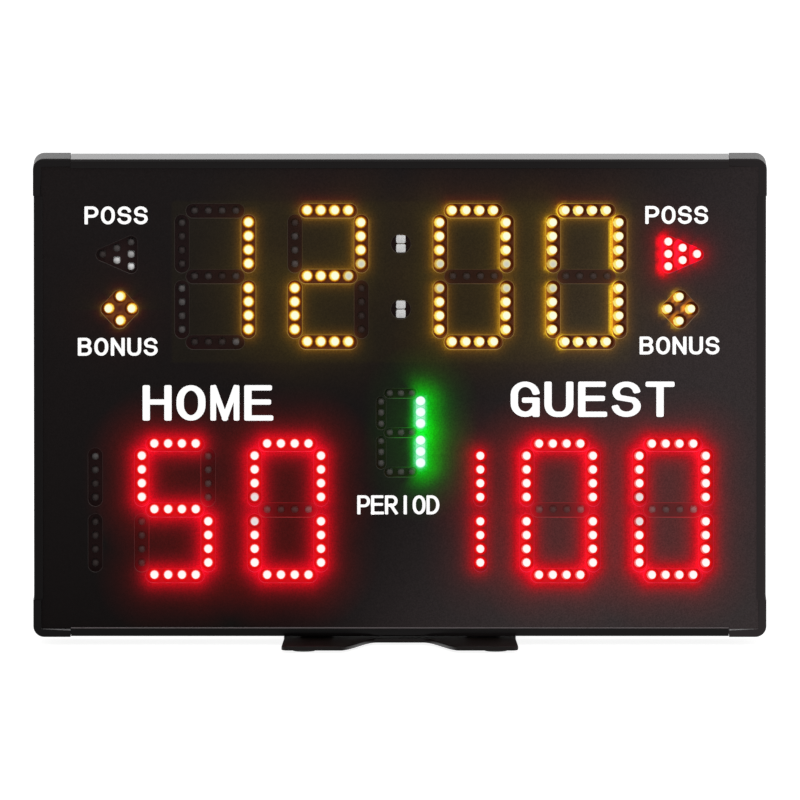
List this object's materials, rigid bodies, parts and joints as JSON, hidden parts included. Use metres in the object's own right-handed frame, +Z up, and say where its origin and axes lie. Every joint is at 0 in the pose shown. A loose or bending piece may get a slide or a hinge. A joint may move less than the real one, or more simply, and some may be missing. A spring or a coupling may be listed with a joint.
{
  "type": "electronic scoreboard",
  "caption": "Table-top LED scoreboard: slotted black front with seven-segment digit boards, aluminium frame with plastic corners, on a flat two-lobed tilting stand.",
  "frame": {"origin": "on the table, under the middle of the case and of the stand", "axes": "+Z up, the display faces -Y, +X to the right as the display is read"},
  "size_m": [0.522, 0.177, 0.347],
  "materials": {
    "frame_rail": "black anodised, satin",
    "corner_piece": "moulded black, satin",
    "front_panel": "semi-matte black sheet",
    "led_board": "dark circuit board with round lamps",
    "rear_cover": "black powder coat",
    "circuit_board": "green solder resist",
    "battery_tray": "plain folded sheet",
    "battery_pack": "blue shrink wrap",
    "horn": "moulded black",
    "switch": "gloss black",
    "charging_socket": "gloss black",
    "nickel_nut": "nickel plate",
    "stand": "gloss black powder coat",
    "stand_pad": "matte black rubber",
    "clamp_knob": "moulded black with steel stud",
    "screw": "zinc plated"
  },
  "bodies": {
    "stand": {"stand_base": "stand", "stand_lug_left": "stand", "stand_lug_right": "stand", "stand_pad_front_left": "stand_pad", "stand_pad_front_right": "stand_pad", "stand_pad_rear_left": "stand_pad", "stand_pad_rear_right": "stand_pad", "stand_screw_left_1": "screw", "stand_screw_left_2": "screw", "stand_screw_right_1": "screw", "stand_screw_right_2": "screw"},
    "case": {"frame_rail_bottom": "frame_rail", "frame_rail_top": "frame_rail", "frame_rail_left": "frame_rail", "frame_rail_right": "frame_rail", "corner_bottom_left": "corner_piece", "corner_bottom_right": "corner_piece", "corner_top_right": "corner_piece", "corner_top_left": "corner_piece", "front_panel": "front_panel", "timer_digit_1": "led_board", "timer_digit_2": "led_board", "timer_colon": "led_board", "timer_digit_3": "led_board", "timer_digit_4": "led_board", "home_hundreds": "led_board", "home_tens": "led_board", "home_units": "led_board", "guest_hundreds": "led_board", "guest_tens": "led_board", "guest_units": "led_board", "period_digit": "led_board", "possession_left": "led_board", "possession_right": "led_board", "bonus_left": "led_board", "bonus_right": "led_board", "rear_cover": "rear_cover", "control_board": "circuit_board", "receiver_module": "circuit_board", "battery_tray": "battery_tray", "battery_pack": "battery_pack", "horn": "horn", "switch_housing": "switch", "charging_socket": "charging_socket", "charging_socket_nut": "nickel_nut", "case_lug_left": "stand", "case_lug_right": "stand", "lug_screw_left_1": "screw", "lug_screw_left_2": "screw", "lug_screw_right_1": "screw", "lug_screw_right_2": "screw"},
    "rocker": {"switch_rocker": "switch"},
    "knob_left": {"clamp_knob_left": "clamp_knob"},
    "knob_right": {"clamp_knob_right": "clamp_knob"}
  },
  "joints": [
    {"name": "case_tilt", "type": "hinge", "parent": "stand", "child": "case", "pos_m": [0, 0.0415, 0.022], "axis": [-1, 0, 0], "range_deg": [0, 20]},
    {"name": "power_rocker", "type": "hinge", "parent": "case", "child": "rocker", "pos_m": [0.2054, 0.027, 0.0655], "axis": [1, 0, 0], "range_deg": [0, 22]},
    {"name": "knob_left_turn", "type": "hinge", "parent": "stand", "child": "knob_left", "pos_m": [-0.0505, 0.0415, 0.022], "axis": [1, 0, 0], "continuous": true},
    {"name": "knob_right_turn", "type": "hinge", "parent": "stand", "child": "knob_right", "pos_m": [0.0505, 0.0415, 0.022], "axis": [1, 0, 0], "continuous": true}
  ]
}
